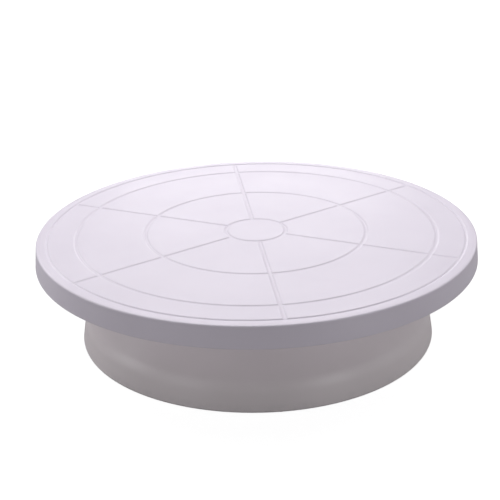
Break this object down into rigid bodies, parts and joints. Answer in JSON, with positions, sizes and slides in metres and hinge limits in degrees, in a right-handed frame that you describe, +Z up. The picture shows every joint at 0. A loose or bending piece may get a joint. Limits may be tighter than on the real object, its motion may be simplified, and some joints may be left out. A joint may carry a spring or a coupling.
{
  "type": "cake turntable",
  "caption": "Round white plastic cake turntable: a flat plate with sunk guide rings and radial lines spins on a ball race above a bowl-shaped base with rubber feet.",
  "frame": {"origin": "centre of the ground plane under the feet, on the spin axis", "axes": "+Z up along the spin axis; +X along one of the six radial guide lines"},
  "size_m": [0.28, 0.28, 0.069],
  "materials": {
    "white_plate": "satin injection-moulded polypropylene",
    "white_base": "satin injection-moulded polypropylene",
    "race_steel": "pressed and plated steel",
    "ball_steel": "polished bearing steel",
    "cage_plastic": "black nylon",
    "spindle_steel": "turned steel",
    "bush_plastic": "natural acetal",
    "zinc_steel": "zinc plated steel",
    "foot_rubber": "moulded rubber"
  },
  "bodies": {
    "base": {"base_shell": "white_base", "lower_race": "race_steel", "upper_bush": "bush_plastic", "lower_bush": "bush_plastic", "thrust_washer": "bush_plastic", "foot_1": "foot_rubber", "foot_2": "foot_rubber", "foot_3": "foot_rubber", "foot_4": "foot_rubber", "foot_5": "foot_rubber", "foot_6": "foot_rubber"},
    "plate": {"turntable_plate": "white_plate", "upper_race": "race_steel", "spindle": "spindle_steel", "retaining_washer": "zinc_steel", "retaining_screw": "zinc_steel"},
    "cage": {"ball_cage": "cage_plastic"},
    "ball_01": {"ball_01": "ball_steel"},
    "ball_02": {"ball_02": "ball_steel"},
    "ball_03": {"ball_03": "ball_steel"},
    "ball_04": {"ball_04": "ball_steel"},
    "ball_05": {"ball_05": "ball_steel"},
    "ball_06": {"ball_06": "ball_steel"},
    "ball_07": {"ball_07": "ball_steel"},
    "ball_08": {"ball_08": "ball_steel"},
    "ball_09": {"ball_09": "ball_steel"},
    "ball_10": {"ball_10": "ball_steel"},
    "ball_11": {"ball_11": "ball_steel"},
    "ball_12": {"ball_12": "ball_steel"},
    "ball_13": {"ball_13": "ball_steel"},
    "ball_14": {"ball_14": "ball_steel"},
    "ball_15": {"ball_15": "ball_steel"},
    "ball_16": {"ball_16": "ball_steel"}
  },
  "joints": [
    {"name": "plate_spin", "type": "hinge", "parent": "base", "child": "plate", "pos_m": [0, 0, 0.05822], "axis": [0, 0, 1], "continuous": true},
    {"name": "cage_spin", "type": "hinge", "parent": "base", "child": "cage", "pos_m": [0, 0, 0.05822], "axis": [0, 0, 1], "continuous": true},
    {"name": "ball_01_roll", "type": "hinge", "parent": "cage", "child": "ball_01", "pos_m": [0.048, 0, 0.05822], "axis": [1, 0, 0], "continuous": true},
    {"name": "ball_02_roll", "type": "hinge", "parent": "cage", "child": "ball_02", "pos_m": [0.04435, 0.01837, 0.05822], "axis": [0.9239, 0.3827, 0], "continuous": true},
    {"name": "ball_03_roll", "type": "hinge", "parent": "cage", "child": "ball_03", "pos_m": [0.03394, 0.03394, 0.05822], "axis": [0.7071, 0.7071, 0], "continuous": true},
    {"name": "ball_04_roll", "type": "hinge", "parent": "cage", "child": "ball_04", "pos_m": [0.01837, 0.04435, 0.05822], "axis": [0.3827, 0.9239, 0], "continuous": true},
    {"name": "ball_05_roll", "type": "hinge", "parent": "cage", "child": "ball_05", "pos_m": [0, 0.048, 0.05822], "axis": [0, 1, 0], "continuous": true},
    {"name": "ball_06_roll", "type": "hinge", "parent": "cage", "child": "ball_06", "pos_m": [-0.01837, 0.04435, 0.05822], "axis": [-0.3827, 0.9239, 0], "continuous": true},
    {"name": "ball_07_roll", "type": "hinge", "parent": "cage", "child": "ball_07", "pos_m": [-0.03394, 0.03394, 0.05822], "axis": [-0.7071, 0.7071, 0], "continuous": true},
    {"name": "ball_08_roll", "type": "hinge", "parent": "cage", "child": "ball_08", "pos_m": [-0.04435, 0.01837, 0.05822], "axis": [-0.9239, 0.3827, 0], "continuous": true},
    {"name": "ball_09_roll", "type": "hinge", "parent": "cage", "child": "ball_09", "pos_m": [-0.048, 0, 0.05822], "axis": [-1, 0, 0], "continuous": true},
    {"name": "ball_10_roll", "type": "hinge", "parent": "cage", "child": "ball_10", "pos_m": [-0.04435, -0.01837, 0.05822], "axis": [-0.9239, -0.3827, 0], "continuous": true},
    {"name": "ball_11_roll", "type": "hinge", "parent": "cage", "child": "ball_11", "pos_m": [-0.03394, -0.03394, 0.05822], "axis": [-0.7071, -0.7071, 0], "continuous": true},
    {"name": "ball_12_roll", "type": "hinge", "parent": "cage", "child": "ball_12", "pos_m": [-0.01837, -0.04435, 0.05822], "axis": [-0.3827, -0.9239, 0], "continuous": true},
    {"name": "ball_13_roll", "type": "hinge", "parent": "cage", "child": "ball_13", "pos_m": [0, -0.048, 0.05822], "axis": [0, -1, 0], "continuous": true},
    {"name": "ball_14_roll", "type": "hinge", "parent": "cage", "child": "ball_14", "pos_m": [0.01837, -0.04435, 0.05822], "axis": [0.3827, -0.9239, 0], "continuous": true},
    {"name": "ball_15_roll", "type": "hinge", "parent": "cage", "child": "ball_15", "pos_m": [0.03394, -0.03394, 0.05822], "axis": [0.7071, -0.7071, 0], "continuous": true},
    {"name": "ball_16_roll", "type": "hinge", "parent": "cage", "child": "ball_16", "pos_m": [0.04435, -0.01837, 0.05822], "axis": [0.9239, -0.3827, 0], "continuous": true}
  ],
  "couplings": [
    {"joint": "cage_spin", "follows": "plate_spin", "ratio": 0.5},
    {"joint": "ball_01_roll", "follows": "plate_spin", "ratio": -7.5591},
    {"joint": "ball_02_roll", "follows": "plate_spin", "ratio": -7.5591},
    {"joint": "ball_03_roll", "follows": "plate_spin", "ratio": -7.5591},
    {"joint": "ball_04_roll", "follows": "plate_spin", "ratio": -7.5591},
    {"joint": "ball_05_roll", "follows": "plate_spin", "ratio": -7.5591},
    {"joint": "ball_06_roll", "follows": "plate_spin", "ratio": -7.5591},
    {"joint": "ball_07_roll", "follows": "plate_spin", "ratio": -7.5591},
    {"joint": "ball_08_roll", "follows": "plate_spin", "ratio": -7.5591},
    {"joint": "ball_09_roll", "follows": "plate_spin", "ratio": -7.5591},
    {"joint": "ball_10_roll", "follows": "plate_spin", "ratio": -7.5591},
    {"joint": "ball_11_roll", "follows": "plate_spin", "ratio": -7.5591},
    {"joint": "ball_12_roll", "follows": "plate_spin", "ratio": -7.5591},
    {"joint": "ball_13_roll", "follows": "plate_spin", "ratio": -7.5591},
    {"joint": "ball_14_roll", "follows": "plate_spin", "ratio": -7.5591},
    {"joint": "ball_15_roll", "follows": "plate_spin", "ratio": -7.5591},
    {"joint": "ball_16_roll", "follows": "plate_spin", "ratio": -7.5591}
  ]
}
